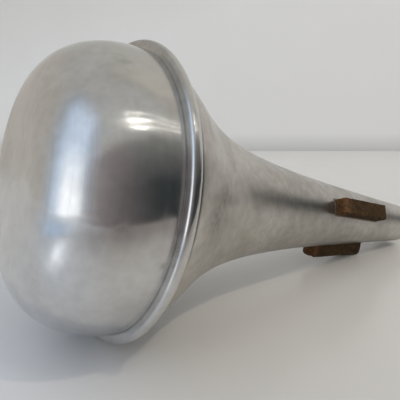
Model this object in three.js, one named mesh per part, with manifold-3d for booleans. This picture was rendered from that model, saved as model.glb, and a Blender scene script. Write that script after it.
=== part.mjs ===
// Straight mute for a trombone, in millimetres, +Z up.
// A spun flare and a spun end cap are locked by a rolled seam, and three cork strips are glued round the neck.
// The mute lies as it is put down: on its rim and on the far end of its lowest cork, small end towards +X.
// Stations are measured along the axis, from the middle of the rim's bead: cap at the minus side, neck at the plus.
import * as THREE from "three";
import { mergeVertices } from "three/addons/utils/BufferGeometryUtils.js";
import Module from "manifold-3d";

const wasm = await Module();
wasm.setup();

// Sizes of the whole shell
const RIM_RADIUS = 60; // to the crown of the bead
const SHEET = 1; // wall of both spun shells
const SEAM_GAP = 0.3; // between the two shells in the seam
const CAP_DEPTH = 39; // from the bead's middle to the flat end
const NECK_REACH = 207; // from the bead's middle to the open small end
const SEGMENTS = 60; // facets round the axis, a multiple of four

// The flare is a slightly tapered tube that opens into a bell at the rim
const NECK_END_RADIUS = 12.1;
const NECK_TAPER_SHARE = 0.065; // radius gained for each unit of length
const BELL_DROP = 3.445; // how far the bell would end below the bead's crown
const BELL_REACH = 32; // station where half of that height is left
const BELL_POWER = 2.05; // pure number: how sharply the bell turns
const FLARE_STEPS = 16;

// The flare's edge is curled into a hem, and the cap's edge is rolled round that hem
const HEM_RADIUS = 1.5;
const HEM_STEPS = 7;
const SKIRT_REACH = 3.8; // station where the cap's rolled edge ends
const SKIRT_DROP = 3.3; // how far that end lies below the bead's crown
const CREASE_DROP = 4.4; // how far the crease in front of the bead lies below its crown
const BEAD_STEPS = 10;

// The end cap: a flat disc, a full rounded shoulder and a short wall
const CAP_DROP = 3.7; // how far the cap's widest ring lies below the bead's crown
const CAP_FLAT_RADIUS = 23.5;
const CAP_WALL = 3.6; // from the widest ring of the cap to the bead's middle
const CAP_ROUNDNESS = 2.32; // pure number: 2 is an ellipse, more is squarer
const SHOULDER_STEPS = 14;
const WALL_STEPS = 3;

// Cork strips, all cut alike, with bevelled ends and a flat outer face
const CORK_LENGTH = 43.5;
const CORK_WIDTH = 8.6;
const CORK_NEAR_THICKNESS = 6.7; // at the end near the rim
const CORK_FAR_THICKNESS = 7.1; // at the end near the mouth
const CORK_BEVEL_LENGTH = 1.6;
const CORK_BEVEL_DEPTH = 1.4;
const CORK_GAP = 0.3; // from the neck, where the glue is
const CUT_OVERRUN = 3; // how far a cork's blank and the tool that cuts it reach past each other
const BOTTOM_CORK_STATION = 126; // where the strip starts, on the side towards the rim
const SIDE_CORK_STATION = 118.8;
const SIDE_CORK_ANGLE = 69; // degrees from straight up, to the front and to the rear alike

// Sizes that follow
const BEAD_RADIUS = HEM_RADIUS + SEAM_GAP + SHEET;
const BEAD_CENTRE = new THREE.Vector2(0, RIM_RADIUS - BEAD_RADIUS);
const FACET_SHARE = Math.cos(Math.PI / SEGMENTS); // a facet's middle is this much nearer the axis than its edges
const BELL_RISE = RIM_RADIUS - BELL_DROP - NECK_END_RADIUS - NECK_TAPER_SHARE * NECK_REACH; // above the tapered tube
const CAP_RADIUS = RIM_RADIUS - CAP_DROP;
const CREASE_RADIUS = RIM_RADIUS - CREASE_DROP;
const CREASE_REACH = Math.sqrt(BEAD_RADIUS ** 2 - (CREASE_DROP - BEAD_RADIUS) ** 2); // from the bead's middle
const SKIRT_END = new THREE.Vector2(SKIRT_REACH, RIM_RADIUS - SKIRT_DROP);
const SKIRT_ANGLE = skirtAngle();

// An outline's points are Vector2(station, radius)

function onCircle(centre, radius, angle) {
  return new THREE.Vector2(centre.x + radius * Math.cos(angle), centre.y + radius * Math.sin(angle));
}

function arc(centre, radius, start, end, steps) {
  const points = [];
  for (let i = 0; i <= steps; i += 1) {
    points.push(onCircle(centre, radius, start + ((end - start) * i) / steps));
  }
  return points;
}

// The direction in which the skirt faces, where it leaves the round of the bead without a kink
function skirtAngle() {
  const toEnd = SKIRT_END.clone().sub(BEAD_CENTRE);
  return Math.atan2(toEnd.y, toEnd.x) + Math.acos(BEAD_RADIUS / toEnd.length());
}

// The outline moved square to itself towards the axis by the given depth
function sunk(points, depth) {
  return points.map((point, i) => {
    const before = points[Math.max(i - 1, 0)];
    const after = points[Math.min(i + 1, points.length - 1)];
    const along = after.clone().sub(before).normalize();
    return new THREE.Vector2(point.x + along.y * depth, point.y - along.x * depth);
  });
}

// Turns a closed outline, or one that starts and ends on the axis, round the X axis with a facet straight below
function turned(points) {
  const profile = points.map((point) => new THREE.Vector2(point.y, point.x));
  const geometry = new THREE.LatheGeometry(profile, SEGMENTS);
  geometry.rotateY(Math.PI / SEGMENTS);
  return geometry.rotateZ(-Math.PI / 2);
}

function bellRise(station) {
  return BELL_RISE / (1 + (station / BELL_REACH) ** BELL_POWER);
}

function flareRadius(station) {
  const tube = NECK_END_RADIUS + NECK_TAPER_SHARE * (NECK_REACH - station);
  return tube + bellRise(station) - bellRise(NECK_REACH);
}

// The flare's outside, from where its edge leaves the hem to the small end, with closer points in the bell
function flareOutside() {
  const hemEdge = onCircle(BEAD_CENTRE, HEM_RADIUS, SKIRT_ANGLE);
  const underSkirt = onCircle(SKIRT_END, -SHEET - SEAM_GAP, SKIRT_ANGLE);
  const points = [hemEdge, underSkirt];
  for (let i = 0; i <= FLARE_STEPS; i += 1) {
    const station = SKIRT_REACH + (NECK_REACH - SKIRT_REACH) * (i / FLARE_STEPS) ** 2;
    points.push(new THREE.Vector2(station, flareRadius(station)));
  }
  return points;
}

function flareBody() {
  const outside = flareOutside();
  const inside = sunk(outside, SHEET).slice(1).reverse();
  const hemOpening = Math.acos((HEM_RADIUS - SHEET) / HEM_RADIUS);
  const hem = arc(BEAD_CENTRE, HEM_RADIUS, SKIRT_ANGLE - hemOpening, SKIRT_ANGLE - 2 * Math.PI, HEM_STEPS);
  return turned([...outside, ...inside, ...hem]);
}

// The cap's outside, from the middle of its flat end to the crease in front of the bead
function capOutside() {
  const points = [new THREE.Vector2(-CAP_DEPTH, 0)];
  for (let i = 0; i <= SHOULDER_STEPS; i += 1) {
    const angle = (i / SHOULDER_STEPS) * (Math.PI / 2);
    const along = Math.max(Math.cos(angle), 0) ** (2 / CAP_ROUNDNESS);
    const out = Math.sin(angle) ** (2 / CAP_ROUNDNESS);
    const station = -CAP_WALL - (CAP_DEPTH - CAP_WALL) * along;
    points.push(new THREE.Vector2(station, CAP_FLAT_RADIUS + (CAP_RADIUS - CAP_FLAT_RADIUS) * out));
  }
  const drawnIn = CAP_RADIUS - CREASE_RADIUS;
  for (let i = 1; i <= WALL_STEPS; i += 1) {
    const share = i / WALL_STEPS;
    const station = -CAP_WALL + (CAP_WALL - CREASE_REACH) * share;
    points.push(new THREE.Vector2(station, CAP_RADIUS - drawnIn * share ** 2));
  }
  return points;
}

// The angle, below the middle of the bead on its cap side, where a circle of that radius has that reach
function frontAngle(reach, radius) {
  return Math.PI + Math.acos(reach / radius);
}

function endCap() {
  const outside = capOutside();
  const outerRound = arc(BEAD_CENTRE, BEAD_RADIUS, frontAngle(CREASE_REACH, BEAD_RADIUS), SKIRT_ANGLE, BEAD_STEPS);
  const innerRadius = BEAD_RADIUS - SHEET;
  const innerReach = CREASE_REACH - SHEET;
  const innerRound = arc(BEAD_CENTRE, innerRadius, SKIRT_ANGLE, frontAngle(innerReach, innerRadius), BEAD_STEPS);
  const skirtInside = onCircle(SKIRT_END, -SHEET, SKIRT_ANGLE);
  const inside = sunk(outside, SHEET).reverse();
  const lip = new THREE.Vector2(-innerReach, inside[0].y);
  inside.shift();
  inside[inside.length - 1].y = 0;
  return turned([...outside.slice(0, -1), ...outerRound, SKIRT_END, skirtInside, ...innerRound, lip, ...inside]);
}

function toSolid(geometry) {
  const bare = geometry.clone();
  bare.deleteAttribute("normal");
  bare.deleteAttribute("uv");
  const merged = mergeVertices(bare);
  const corners = merged.index.array;
  const kept = [];
  for (let i = 0; i < corners.length; i += 3) {
    const [a, b, c] = [corners[i], corners[i + 1], corners[i + 2]];
    if (a !== b && b !== c && c !== a) kept.push(a, b, c);
  }
  const vertProperties = new Float32Array(merged.attributes.position.array);
  return new wasm.Manifold(new wasm.Mesh({ numProp: 3, vertProperties, triVerts: new Uint32Array(kept) }));
}

function toGeometry(solid) {
  const { vertProperties, triVerts } = solid.getMesh();
  const geometry = new THREE.BufferGeometry();
  geometry.setAttribute("position", new THREE.BufferAttribute(vertProperties, 3));
  geometry.setIndex(new THREE.BufferAttribute(triVerts, 1));
  geometry.computeVertexNormals();
  return geometry;
}

// The neck with the glue gap round it, over the stretch that a cork covers
function neckCutter(start, end) {
  const gap = CORK_GAP / FACET_SHARE;
  const from = start - CUT_OVERRUN;
  const to = end + CUT_OVERRUN;
  const points = [new THREE.Vector2(from, 0)];
  for (let i = 0; i <= FLARE_STEPS; i += 1) {
    const station = from + ((to - from) * i) / FLARE_STEPS;
    points.push(new THREE.Vector2(station, flareRadius(station) + gap));
  }
  points.push(new THREE.Vector2(to, 0));
  return turned(points);
}

// Where a cork's flat face ends, next to its far bevel: the mute lies on this edge of its lowest cork
function corkFarEdge(start) {
  const station = start + CORK_LENGTH - CORK_BEVEL_LENGTH;
  return new THREE.Vector2(station, flareRadius(station) + CORK_FAR_THICKNESS);
}

function corkNearEdge(start) {
  const station = start + CORK_BEVEL_LENGTH;
  return new THREE.Vector2(station, flareRadius(station) + CORK_NEAR_THICKNESS);
}

// A strip that starts at the given station, and lies the given degrees from straight up, turning towards -Y
function cork(start, degrees) {
  const end = start + CORK_LENGTH;
  const near = corkNearEdge(start);
  const far = corkFarEdge(start);
  const root = flareRadius(end) - CUT_OVERRUN;
  const outline = new THREE.Shape([
    new THREE.Vector2(start, root),
    new THREE.Vector2(end, root),
    new THREE.Vector2(end, far.y - CORK_BEVEL_DEPTH),
    far,
    near,
    new THREE.Vector2(start, near.y - CORK_BEVEL_DEPTH),
  ]);
  const blank = new THREE.ExtrudeGeometry(outline, { depth: CORK_WIDTH, bevelEnabled: false });
  blank.translate(0, 0, -CORK_WIDTH / 2);
  blank.rotateX(Math.PI / 2 + THREE.MathUtils.degToRad(degrees));
  return toGeometry(toSolid(blank).subtract(toSolid(neckCutter(start, end))));
}

// The slope of a floor that touches the rim's lowest facet and the far edge of the lowest cork
function restingTilt() {
  const edge = corkFarEdge(BOTTOM_CORK_STATION);
  const drop = BEAD_CENTRE.y * FACET_SHARE - edge.y;
  return Math.atan2(drop, edge.x) + Math.asin(BEAD_RADIUS / Math.hypot(edge.x, drop));
}

const polished = new THREE.MeshStandardMaterial({ color: 0xc9c8c4, roughness: 0.22, metalness: 1 });
const satin = new THREE.MeshStandardMaterial({ color: 0xbdbcb7, roughness: 0.38, metalness: 1 });
const corkMaterial = new THREE.MeshStandardMaterial({ color: 0x5a3f2a, roughness: 0.95, metalness: 0 });

function piece(name, geometry, material) {
  const mesh = new THREE.Mesh(geometry, material);
  mesh.name = name;
  return mesh;
}

const mute = new THREE.Group();
mute.add(piece("flare_body", flareBody(), satin));
mute.add(piece("end_cap", endCap(), polished));
mute.add(piece("cork_bottom", cork(BOTTOM_CORK_STATION, 180), corkMaterial));
mute.add(piece("cork_front", cork(SIDE_CORK_STATION, SIDE_CORK_ANGLE), corkMaterial));
mute.add(piece("cork_rear", cork(SIDE_CORK_STATION, -SIDE_CORK_ANGLE), corkMaterial));

// Laid on the floor, with the middle of its box over the origin
mute.rotation.y = restingTilt();
const box = new THREE.Box3().setFromObject(mute, true);
mute.position.set(-(box.min.x + box.max.x) / 2, -(box.min.y + box.max.y) / 2, -box.min.z);

const model = new THREE.Group();
model.add(mute);

export default model;
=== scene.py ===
"""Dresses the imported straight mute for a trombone: spun shells, cork strips, glue and a plain stage.

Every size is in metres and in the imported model's own frame. A piece is made with its axis along X and the
middle of the rim at the origin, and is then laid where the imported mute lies. Stations are measured along
that axis from the middle of the rim: the end cap is at the minus side and the neck at the plus side.
"""

import math

import bmesh
import bpy
from bpy.props import FloatProperty, FloatVectorProperty, IntProperty, PointerProperty
from bpy.types import Operator, Panel, PropertyGroup
from mathutils import Matrix, Vector, noise


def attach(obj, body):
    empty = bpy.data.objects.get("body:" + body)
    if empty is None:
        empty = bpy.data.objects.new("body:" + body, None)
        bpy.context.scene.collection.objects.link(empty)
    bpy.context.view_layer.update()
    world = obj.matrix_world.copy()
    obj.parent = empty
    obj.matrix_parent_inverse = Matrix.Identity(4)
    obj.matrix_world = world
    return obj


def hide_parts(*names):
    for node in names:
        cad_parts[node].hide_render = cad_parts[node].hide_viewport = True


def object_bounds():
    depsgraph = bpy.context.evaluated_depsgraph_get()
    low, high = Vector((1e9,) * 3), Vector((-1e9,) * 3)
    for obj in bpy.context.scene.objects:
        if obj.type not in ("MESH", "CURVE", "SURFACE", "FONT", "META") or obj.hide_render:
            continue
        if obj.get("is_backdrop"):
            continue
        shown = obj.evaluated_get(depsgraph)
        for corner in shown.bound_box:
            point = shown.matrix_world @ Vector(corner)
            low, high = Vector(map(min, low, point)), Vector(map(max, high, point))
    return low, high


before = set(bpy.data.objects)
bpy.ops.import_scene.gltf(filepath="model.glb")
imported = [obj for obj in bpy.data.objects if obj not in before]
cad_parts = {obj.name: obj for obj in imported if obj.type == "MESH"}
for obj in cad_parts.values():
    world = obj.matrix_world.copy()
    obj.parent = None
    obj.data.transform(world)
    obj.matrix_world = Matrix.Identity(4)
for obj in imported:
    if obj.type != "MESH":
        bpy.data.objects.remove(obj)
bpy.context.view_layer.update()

bl_info = {
    "name": "Trombone Straight Mute",
    "version": (1, 0, 0),
    "blender": (4, 5, 0),
    "location": "View3D > Sidebar > Mute",
    "description": "Makes the visible pieces of a spun aluminium straight mute for a trombone",
    "category": "Add Mesh",
}

BODY = "root"
SPUN_MAP = "spun"  # UV map of a spun shell: along the outline, then round the axis
PANEL_MAP = "panel"  # UV map of a stage panel: across, then up
SMUDGE = "smudge"  # attribute: how marked the metal is at a point
WEAR = "wear"  # attribute: how rubbed the cork is at a point
WHOLE_TURN = math.tau
QUARTER_TURN = WHOLE_TURN / 4
UNIT = 1  # side of a box or a panel before it takes its size
MERGED = 1e-7  # points nearer to each other than this become one
SHARP = math.radians(55)  # an edge that turns outwards by more than this is rounded

PATCHY_SHARE = 0.35  # of the cork's wear, that comes in patches
PORE_START_SHARE = 0.32  # of the noise's height, above which a pore opens
PORE_STEEPNESS = 3
HELD_SHARE = 0.25  # of a strip's height above its underside, where its surface is held back
STRIP_WEAR_SHARES = {"bottom": 0.85, "front": 1, "rear": 0.6}
GLUE_WAVES = 9  # of its ragged edge, across the bed
GLUE_EDGE_POWER = 6  # the higher, the closer to its edge the bed thins out
GLUE_TOP_SHARES = (1.1, 0.55)  # of the bed's height: in the middle, and lost at the edge

SMALL_HAZES = 5  # across one hazed patch
GRAINS = 10  # across one hazed patch
HAIRLINE_SHARE = 0.035  # of a scratch's length, that its width takes
HAIRLINE_TURNS = ((0.3, 0.9, 0.5), (1.1, 0.2, 1.9))  # in radians, one row for each set of scratches
INSIDE_FADE_SHARE = 0.01  # of the outline, over which the outer finish ends
CORK_GLOSS_SHARE = 0.15
DEEP_PAINT_SHARE = 0.96  # of the paint's tone, where it is darkest
SKY_SHARES = (0.45, 0.95)  # of the way up, where the room's side tone ends and its top tone starts

# Each pattern: from which value of its noise to which it comes in, and what it gives at both ends
PATTERN_SHARES = {
    "haze": (0.32, 0.68, 0, 0.75),
    "small haze": (0.35, 0.65, -0.25, 0.35),
    "rings": (0.3, 0.7, 0, 0.5),
    "grains": (0.30, 0.62, 0.2, 1),
    "hairlines": (0.80, 0.87, 0, 1),
    "scored": (0.54, 0.66, 0, 1),
    "uneven shade and grime": (0.3, 0.6, 0.75, 1),
    "metal roughness": (0.3, 0.7, 0.86, 1.22),
    "cork tint": (0.1, 0.9, 0, 0.75),
    "cork wear": (0.3, 0.6, 0.35, 1),
    "cork clouds": (0.45, 0.75, 0, 0.7),
    "cork pores": (0.56, 0.66, 0, 1),
    "cork roughness": (0.3, 0.7, 0.72, 0.96),
    "pale glue": (0.50, 0.66, 0, 0.8),
    "glue roughness": (0.3, 0.7, 0.30, 0.55),
}
# Each dark ring on the metal: how much it covers, and the share of its reach within which it is even
# The crease, bead, skirt and seam rings are painted shade; the darker_neck ring darkens the neck round its
# middle
RING_SHARES = {
    "crease": (0.8, 0),
    "bead": (0.36, 0.5),
    "skirt": (0.58, 0.5),
    "seam": (1, 0.625),
    "darker_neck": (0.22, 0.5),
}
# How much of what lies under it each mark covers
COVER_SHARES = {"smudge": 0.75, "pores": 0.85}
# Roughness that each mark adds to the metal, and that of the paint
ROUGHNESS_SHARES = {"smudge": 0.2, "scratches": 0.05, "inside": 0.2, "shelf": 0.26, "wall": 0.7}
# How strongly each relief shows
RELIEF_SHARES = {"haze": 0.4, "grain": 0.5, "fine": 0.7, "pores": 0.7, "glue": 0.6}

# Small dents in the cap: station, degrees from straight up towards the front, reach, depth
CAP_DENTS = (
    (-0.0194, 94.2, 0.0020, 0.00007),
    (-0.0115, 67.9, 0.0021, 0.00005),
    (-0.0197, 30.0, 0.0022, 0.00004),
    (-0.0179, 34.4, 0.0022, 0.00004),
    (-0.0277, 81.4, 0.0034, 0.00006),
    (-0.0130, 105.0, 0.0030, 0.00004),
    (-0.0240, 215.0, 0.0040, 0.00014),
    (-0.0100, 290.0, 0.0030, 0.00010),
)
# Dark smudges on the flare, in the same order, with a strength in place of the depth
FLARE_SMUDGES = (
    (0.0318, 59.4, 0.0035, 0.30),
    (0.0236, 79.5, 0.0042, 0.50),
    (0.0200, 86.5, 0.0032, 0.32),
    (0.0177, 91.5, 0.0040, 0.55),
    (0.0900, 250.0, 0.0080, 0.40),
    (0.0450, 190.0, 0.0090, 0.45),
)
CAP_SMUDGES = (
    (-0.0194, 94.2, 0.0014, 0.55),
    (-0.0197, 30.0, 0.0022, 0.16),
    (-0.0179, 34.4, 0.0022, 0.20),
    (-0.0167, 36.1, 0.0020, 0.16),
    (-0.0040, 105.3, 0.0016, 0.45),
    (-0.0330, 160.0, 0.0060, 0.30),
)


def maker(kind, **settings):
    """A function that makes a kind of property from its name, its description and its default."""
    def make(name, description, default):
        return kind(name=name, description=description, default=default, **settings)

    return make


length = maker(FloatProperty, precision=5, unit="LENGTH")
turn_size = maker(FloatProperty, subtype="ANGLE")
share = maker(FloatProperty, min=0, max=1, subtype="FACTOR")
number = maker(FloatProperty, min=0)
count = maker(IntProperty, min=1)
colour = maker(FloatVectorProperty, min=0, max=1, subtype="COLOR")
place = maker(FloatVectorProperty, precision=6, subtype="TRANSLATION")


def angle(name, description, degrees):
    return turn_size(name, description, math.radians(degrees))


class MuteShell(PropertyGroup):
    """Sizes of the two spun shells and where the mute lies."""

    rim_middle: place("Rim middle", "Where the middle of the rim lies", (-0.0800703, 0, 0.0585191))
    dip: angle("Dip", "How far the small end points below the level", 12.72278)
    rim_radius: length("Rim radius", "From the axis to the crown of the bead", 0.060)
    sheet: length("Sheet", "Thickness of both shells", 0.001)
    seam_gap: length("Seam gap", "Between the two shells in the rolled seam", 0.0003)
    hem_radius: length("Hem radius", "Of the flare's curled edge inside the bead", 0.00115)
    bead_radius: length("Bead radius", "From the bead's middle to its crown", 0.0028)
    bead_front: length("Bead front", "From the bead's middle to its nose", 0.00185)
    nose_drop: length("Nose drop", "From the bead's crown down to its nose", 0.0018)
    crease_reach: length("Crease reach", "From the bead's middle to the crease in front of it", 0.0019)
    crease_drop: length("Crease drop", "From the bead's crown down to that crease", 0.0038)
    bead_squareness: number("Bead squareness", "2 is a round front, more is squarer", 2.6)
    skirt_reach: length("Skirt reach", "Station where the cap's rolled edge ends", 0.0038)
    skirt_drop: length("Skirt drop", "From the bead's crown down to that edge", 0.0033)
    cap_drop: length("Cap drop", "From the bead's crown down to the cap's widest ring", 0.0037)
    cap_depth: length("Cap depth", "From the rim to the flat end", 0.039)
    cap_flat_radius: length("Cap flat radius", "Of the flat disc at the end", 0.0235)
    cap_wall: length("Cap wall", "From the widest ring to the rim", 0.0036)
    cap_roundness: number("Cap roundness", "2 is an ellipse, more is squarer", 2.32)
    neck_reach: length("Neck reach", "From the rim to the open small end", 0.207)
    neck_end_radius: length("Neck end radius", "Of the open small end", 0.0121)
    neck_taper: share("Neck taper", "Radius gained for each unit of length", 0.065)
    bell_drop: length("Bell drop", "How far the bell would end below the bead's crown", 0.003445)
    bell_reach: length("Bell reach", "Station where half of the bell's height is left", 0.032)
    bell_power: number("Bell power", "How sharply the bell turns", 2.05)
    facets: count("Facets", "Round the axis", 320)
    shoulder_steps: count("Shoulder steps", "Along the cap's rounded shoulder", 60)
    disc_steps: count("Disc steps", "From the axis to the edge of the flat end", 12)
    wall_steps: count("Wall steps", "Between the widest ring and the crease", 9)
    curl_steps: count("Curl steps", "From the crease to the bead's nose", 8)
    bead_steps: count("Bead steps", "Round each half of the bead", 16)
    hem_steps: count("Hem steps", "Round the curled hem", 14)
    flare_steps: count("Flare steps", "Along the flare", 90)
    flare_crowding: number("Flare crowding", "1 spaces its rings evenly, more crowds them at the rim", 1.6)
    edge_round: length("Edge round", "On the cut edges of both shells", 0.00022)
    unevenness: length("Unevenness", "Depth of the slow waves that spinning leaves", 0.00007)
    wave_length: length("Wave length", "Of those slow waves", 0.028)


class MuteCork(PropertyGroup):
    """Sizes and colours of the cork strips and of their glue."""

    strip_length: length("Length", "Of a strip", 0.0435)
    strip_width: length("Width", "Of a strip", 0.0086)
    near_thickness: length("Near thickness", "At the end near the rim", 0.0067)
    far_thickness: length("Far thickness", "At the end near the mouth", 0.0071)
    bevel_length: length("Bevel length", "Along the strip at both ends", 0.0016)
    bevel_depth: length("Bevel depth", "At both ends", 0.0014)
    bed: length("Bed", "Height of the glue between the neck and the cork", 0.0003)
    bottom_station: length("Bottom strip's station", "Where it starts, on the side towards the rim", 0.126)
    side_station: length("Side strips' station", "Where they start", 0.1188)
    side_angle: angle("Side angle", "From straight up to the strip at each side", 69)
    edge_round: length("Edge round", "Where the edges are worn", 0.0009)
    lump_depth: length("Lump depth", "Of the soft lumps in the surface", 0.00016)
    lump_size: length("Lump size", "Across one soft lump", 0.0021)
    pit_depth: length("Pit depth", "Of the pores", 0.00042)
    pit_size: length("Pit size", "Between one pore and the next", 0.0027)
    cell: length("Cell", "Distance between the mesh's points", 0.00034)
    glue_margin: length("Glue margin", "How far the glue shows beyond a strip", 0.0004)
    glue_ragged: length("Glue raggedness", "How far its edge strays", 0.0004)
    grain_size: length("Grain size", "Of one grain", 0.0016)
    grain_depth: length("Grain depth", "Of the seams between the grains", 0.00012)
    cloud_size: length("Cloud size", "Of the darker clouds", 0.0045)
    fine_size: length("Fine size", "Of the finest roughness", 0.0006)
    fine_depth: length("Fine depth", "Of that roughness", 0.0001)
    pore_relief: length("Pore relief", "Of the smallest pores", 0.0002)
    glue_cloud: length("Glue cloud", "Of the paler patches in the glue", 0.0022)
    glue_fine: length("Glue fineness", "Of the glue's wrinkles", 0.0005)
    glue_relief: length("Glue relief", "Of those wrinkles", 0.00008)
    brown: colour("Brown", "Of most of the cork", (0.056, 0.034, 0.013))
    dark: colour("Dark", "Of the dark grains and pores", (0.022, 0.013, 0.006))
    rubbed: colour("Rubbed", "Where the cork is rubbed to a lighter, redder tone", (0.150, 0.072, 0.032))
    rubbed_share: share("Rubbed share", "Of a strip's length, from its end near the rim", 0.08)
    glue: colour("Glue", "Of the dried glue", (0.120, 0.086, 0.060))
    glue_light: colour("Light glue", "Where the glue has gone pale", (0.17, 0.13, 0.10))


class MuteFinish(PropertyGroup):
    """Colours and gloss of the spun metal, and the shade painted on it."""

    cap_metal: colour("Cap metal", "Clean metal of the end cap", (0.690, 0.686, 0.676))
    cap_dull: colour("Dull cap metal", "Where the end cap is hazed", (0.600, 0.594, 0.580))
    cap_roughness: share("Cap roughness", "Of the polished end cap", 0.14)
    cap_streak: share("Cap streak", "How far a highlight is drawn out across the spinning lines", 0.95)
    cap_relief: share("Cap relief", "How far the spinning marks stand out on the end cap", 0.35)
    flare_metal: colour("Flare metal", "Clean metal of the flare", (0.630, 0.604, 0.568))
    flare_dull: colour("Dull flare metal", "Where the flare has gone grey", (0.500, 0.472, 0.428))
    flare_roughness: share("Flare roughness", "Of the satin flare", 0.30)
    flare_streak: share("Flare streak", "How far a highlight is drawn out across the spinning lines", 0.5)
    flare_relief: share("Flare relief", "How far the spinning marks stand out on the flare", 0.15)
    # Painted shade in the crease, on the bead's front, along the skirt and in the seam takes this tone; so
    # do the smudges and the darker neck
    grime_and_shade: colour("Grime and shade", "In the crease, in the seam and in smudges", (0.110, 0.102, 0.092))
    inside: colour("Inside", "Bare metal inside the mute", (0.420, 0.408, 0.384))
    # Painted shade: the crease in front of the bead is darkened towards the grime tone
    crease_shade_reach: length("Crease shade", "Width of the grime in the crease", 0.0005)
    # Painted shade on the upper part of the bead's front, darkened towards the grime tone above a height
    # over the axis
    bead_front_shade_reach: length("Bead front shade", "Width of the dust on the bead's front", 0.0022)
    bead_front_shade_height: length("Dust height", "Above the axis, from which dust lies on the bead's front", 0.028)
    # How far above its height the painted shade on the bead's front and along the seam comes in fully
    shade_rise: length("Dust rise", "How far above that it lies thick", 0.014)
    # The neck is darkened round its middle towards the grime tone
    darker_neck_station: length("Darker neck station", "Middle of the duller part of the flare", 0.125)
    darker_neck_reach: length("Darker neck reach", "From there to where that part ends", 0.085)
    # Painted shade along the skirt's edge, darkened towards the grime tone
    skirt_shade_reach: length("Skirt shade", "Width of the duller band along the skirt's edge", 0.0034)
    seam_shade_reach: length("Seam shade", "Width of the dark line where the skirt meets the flare", 0.00272)
    seam_shade_height: length("Seam shade height", "Above the axis, from which that line lies", -0.020)
    ring_size: length("Ring size", "Width of the broad rings that the spinning tool leaves", 0.0024)
    ring_depth: length("Ring depth", "Of those broad rings", 0.00002)
    line_size: length("Line size", "Width of the fine spinning lines", 0.00016)
    line_depth: length("Line depth", "Of those fine lines", 0.000024)
    scored_roughness: share("Scored roughness", "Added to the roughness in those fine lines", 0.06)
    patch_size: length("Patch size", "Of the hazed patches", 0.020)
    haze_depth: length("Haze depth", "Of the soft unevenness in the hazed patches", 0.00002)
    hairline_size: length("Hairline size", "Width between the scratches", 0.00055)
    hairline_depth: length("Hairline depth", "Of the scratches", 0.000003)


class MuteStage(PropertyGroup):
    """The camera, the floor, the wall and the soft light, and the light and shade painted on the floor and
    the wall.
    """

    camera_place: place("Camera place", "Where the camera stands", (-0.14626, -0.16253, 0.09359))
    camera_pitch: angle("Camera pitch", "From straight down", 77.160)
    camera_heading: angle("Camera heading", "Turn about the upright", -33.756)
    camera_lens: number("Lens", "Focal length in millimetres on a 36 mm sensor", 38.714)
    wall_distance: length("Wall distance", "From the camera to the wall", 0.842)
    wall_left: length("Wall's left end", "How far it goes to the left of the camera", 0.46)
    stage_width: length("Stage width", "Of the floor and the wall", 9.0)
    floor_patch: length("Floor patch", "Of the faint unevenness in the shelf's paint", 0.05)
    wall_patch: length("Wall patch", "Of the faint unevenness in the wall's paint", 0.12)
    floor_colour: colour("Floor", "Painted shelf, far from the camera", (0.700, 0.700, 0.698))
    # Painted shade: the shelf darkens towards the camera
    floor_near_shade_colour: colour("Near floor", "Painted shelf, near the camera", (0.620, 0.610, 0.596))
    floor_near: length("Near floor reach", "How far before the wall the near tone is reached", 0.75)
    # Painted light: the shelf turns bluish to the camera's left, where the window's bluish light falls
    floor_left_blue_light_colour: colour("Left floor", "Painted shelf, to the camera's left", (0.625, 0.650, 0.700))
    floor_left: length("Left floor reach", "How far to the camera's left that tone is reached", 0.07)
    wall_colour: colour("Wall", "Painted wall", (0.752, 0.752, 0.752))
    wall_high_colour: colour("High wall", "Painted wall, where less light falls", (0.575, 0.562, 0.520))
    # Painted shade: the wall darkens at its foot, where it meets the shelf
    wall_foot_shade_colour: colour("Wall's foot", "Where the wall meets the shelf", (0.540, 0.540, 0.535))
    wall_foot: length("Foot height", "Height of the darker foot of the wall", 0.034)
    wall_low: length("Low wall", "Height up to which the wall is pale", 0.24)
    wall_high: length("High wall height", "Where the wall's high tone is reached", 0.57)
    wall_lean: share("Wall lean", "How much sooner the wall darkens for each unit to the left", 0.38)
    ambient: colour("Ambient", "Tone and brightness of the light from all round", (0.900, 0.890, 0.870))
    sky_side: colour("Side", "What the metal mirrors at the level of the eye", (0.508, 0.480, 0.442))
    sky_top: colour("Top", "What the metal mirrors straight up", (0.500, 0.500, 0.490))
    lamp_bearing: angle("Lamp bearing", "From the camera's heading, to the right", 132)
    lamp_distance: length("Lamp distance", "From the mute", 1.6)
    lamp_radius: length("Lamp radius", "Of each small lamp", 0.016)
    lamp_light: number("Lamp light", "Power of each small lamp in watts", 0.50)
    tube_length: length("Tube length", "Of the faint tube through each lamp", 1.70)
    tube_width: length("Tube width", "Of that tube", 0.030)
    tube_shift: length("Tube shift", "From the lamp to the middle of its tube", 0.31)
    tube_bearing: angle("Tube bearing", "Where the tubes point to", 75)
    tube_level: angle("Tube level", "How high above the level they point", 21)
    key_bearing: angle("Key bearing", "Of the light that casts the shadow's edge", 118)
    key_level: angle("Key level", "How high above the level it stands", 55)
    key_distance: length("Key distance", "From the mute", 3.0)
    key_radius: length("Key radius", "Of that light", 0.045)
    key_light: number("Key light", "Power of that light in watts", 12)
    key_colour: colour("Key tone", "Of that light", (1.0, 0.87, 0.68))
    card_lift: length("Card lift", "Of a flat card above the shelf", 0.0006)


# Each small lamp: its height above the level, and its share of the lamps' power
LAMPS = ((math.radians(62.6), 0.5), (math.radians(56.7), 1.6), (math.radians(51.2), 1.0))
LAMP_TONE = (1.0, 0.985, 0.90)
TUBE = {
    "tones": ((1.00, 0.98, 0.92), (1.00, 0.98, 0.92), (2.00, 1.96, 1.80)),
    "turn": (0.65, 0.90),
    "clear": (0.40, 0.08, 0, 0),
}

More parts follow.
